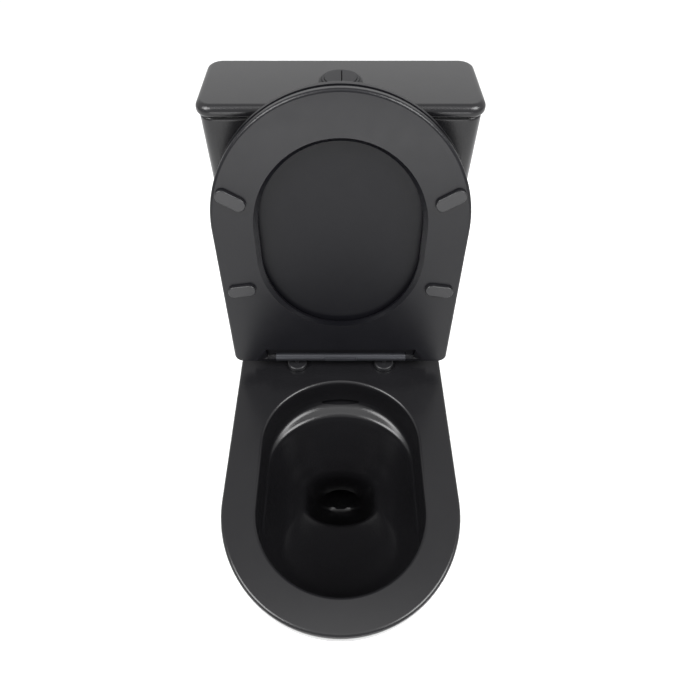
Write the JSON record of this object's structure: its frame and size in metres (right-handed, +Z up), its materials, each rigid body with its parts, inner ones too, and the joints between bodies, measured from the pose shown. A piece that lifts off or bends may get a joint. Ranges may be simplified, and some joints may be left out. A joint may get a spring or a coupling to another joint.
{
  "type": "close coupled toilet",
  "caption": "Floor standing close coupled toilet with a skirted rimless pan, slim soft close seat and cover on a hinge bar, box cistern and divided round flush button.",
  "frame": {"origin": "on the floor, at the middle of the length and the width", "axes": "+X to the right seen from the front, +Y towards the wall behind the cistern, +Z up"},
  "size_m": [0.384, 0.6797, 0.8699],
  "materials": {
    "china": "satin black glaze",
    "seat_plastic": "satin black",
    "button_plastic": "satin black",
    "hinge_metal": "satin black coated",
    "pad_rubber": "matt",
    "black_rubber": "matt",
    "seal_rubber": "smooth",
    "steel": "plain stainless",
    "grey_plastic": "moulded",
    "white_plastic": "moulded",
    "cap_plastic": "satin black"
  },
  "bodies": {
    "pan": {"button_clamp_nut": "grey_plastic", "button_housing": "button_plastic", "cistern": "china", "cistern_lid": "china", "cistern_pads": "black_rubber", "coupling_bolts": "steel", "coupling_cone_washers": "black_rubber", "coupling_gasket": "black_rubber", "coupling_rubber_washers": "black_rubber", "coupling_steel_washers": "steel", "coupling_wing_nuts": "steel", "cover_damper": "grey_plastic", "fill_valve_body": "white_plastic", "fill_valve_head": "white_plastic", "fill_valve_nut": "grey_plastic", "fill_valve_washer": "black_rubber", "float_arm_pin": "steel", "floor_brackets": "steel", "floor_screws": "steel", "full_spring": "steel", "half_spring": "steel", "hinge_bar": "hinge_metal", "hinge_base_discs": "hinge_metal", "hinge_disc_gaskets": "black_rubber", "hinge_pillars": "steel", "lever_pins": "steel", "pan": "china", "release_spring": "steel", "seat_damper": "grey_plastic", "seat_stud_nuts": "grey_plastic", "seat_stud_washers": "black_rubber", "seat_studs": "steel", "side_caps": "cap_plastic", "side_screws": "steel", "valve_back_nut": "grey_plastic", "valve_base": "white_plastic", "valve_tower": "white_plastic", "valve_washer": "black_rubber"},
    "cover": {"cover": "seat_plastic", "cover_buffers": "pad_rubber", "cover_hinge_pin": "steel"},
    "seat": {"seat_ring": "seat_plastic", "seat_bumpers": "pad_rubber", "seat_hinge_pin": "steel"},
    "full_button": {"button_full": "button_plastic", "full_push_rod": "grey_plastic"},
    "half_button": {"button_half": "button_plastic", "half_push_rod": "grey_plastic"},
    "full_lever": {"full_lever": "grey_plastic"},
    "half_lever": {"half_lever": "grey_plastic"},
    "flush_tube": {"overflow_tube": "white_plastic", "flush_seal": "seal_rubber", "lift_yoke": "white_plastic"},
    "half_ring": {"half_flush_ring": "white_plastic"},
    "float": {"float_cup": "white_plastic", "float_rod": "white_plastic"},
    "float_arm": {"float_arm": "white_plastic"},
    "release_button": {"release_button": "hinge_metal"},
    "latch_left": {"release_latch_left": "steel"},
    "latch_right": {"release_latch_right": "steel"}
  },
  "joints": [
    {"name": "cover_hinge", "type": "hinge", "parent": "pan", "child": "cover", "pos_m": [0, 0.105, 0.426], "axis": [1, 0, 0], "range_deg": [0, 98]},
    {"name": "seat_hinge", "type": "hinge", "parent": "cover", "child": "seat", "pos_m": [0, 0.105, 0.426], "axis": [-1, 0, 0], "range_deg": [-98, 0]},
    {"name": "full_button_press", "type": "slide", "parent": "pan", "child": "full_button", "axis": [0, 0, -1], "range_m": [0, 0.006], "stiffness_N_per_m": 700, "springref_m": -0.006, "deforming": ["full_spring"]},
    {"name": "half_button_press", "type": "slide", "parent": "pan", "child": "half_button", "axis": [0, 0, -1], "range_m": [0, 0.006], "stiffness_N_per_m": 500, "springref_m": -0.004, "deforming": ["half_spring"]},
    {"name": "full_lever_tilt", "type": "hinge", "parent": "pan", "child": "full_lever", "pos_m": [-0.032, 0.267, 0.722], "axis": [0, 1, 0], "range_deg": [0, 16.5]},
    {"name": "half_lever_tilt", "type": "hinge", "parent": "pan", "child": "half_lever", "pos_m": [0.0345, 0.267, 0.722], "axis": [0, -1, 0], "range_deg": [0, 16.5]},
    {"name": "tube_lift", "type": "slide", "parent": "pan", "child": "flush_tube", "axis": [0, 0, 1], "range_m": [0, 0.0108]},
    {"name": "half_ring_lift", "type": "slide", "parent": "pan", "child": "half_ring", "axis": [0, 0, 1], "range_m": [0, 0.0108]},
    {"name": "float_rise", "type": "slide", "parent": "pan", "child": "float", "axis": [0, 0, 1], "range_m": [0, 0.008]},
    {"name": "float_arm_tilt", "type": "hinge", "parent": "pan", "child": "float_arm", "pos_m": [0.15, 0.267, 0.728], "axis": [0, 1, 0], "range_deg": [0, 23.5]},
    {"name": "release_press", "type": "slide", "parent": "pan", "child": "release_button", "axis": [0, 1, 0], "range_m": [0, 0.002], "stiffness_N_per_m": 400, "springref_m": -0.002, "deforming": ["release_spring"]},
    {"name": "latch_left_slide", "type": "slide", "parent": "pan", "child": "latch_left", "axis": [1, 0, 0], "range_m": [0, 0.0035]},
    {"name": "latch_right_slide", "type": "slide", "parent": "pan", "child": "latch_right", "axis": [-1, 0, 0], "range_m": [0, 0.0035]}
  ],
  "couplings": [
    {"joint": "full_lever_tilt", "follows": "full_button_press", "rad_per_m": 46.512},
    {"joint": "tube_lift", "follows": "full_button_press", "ratio": 1.7674},
    {"joint": "half_lever_tilt", "follows": "half_button_press", "rad_per_m": 46.512},
    {"joint": "half_ring_lift", "follows": "half_button_press", "ratio": 1.7674},
    {"joint": "float_arm_tilt", "follows": "float_rise", "rad_per_m": 50},
    {"joint": "latch_left_slide", "follows": "release_press", "ratio": 1.7},
    {"joint": "latch_right_slide", "follows": "release_press", "ratio": 1.7}
  ]
}
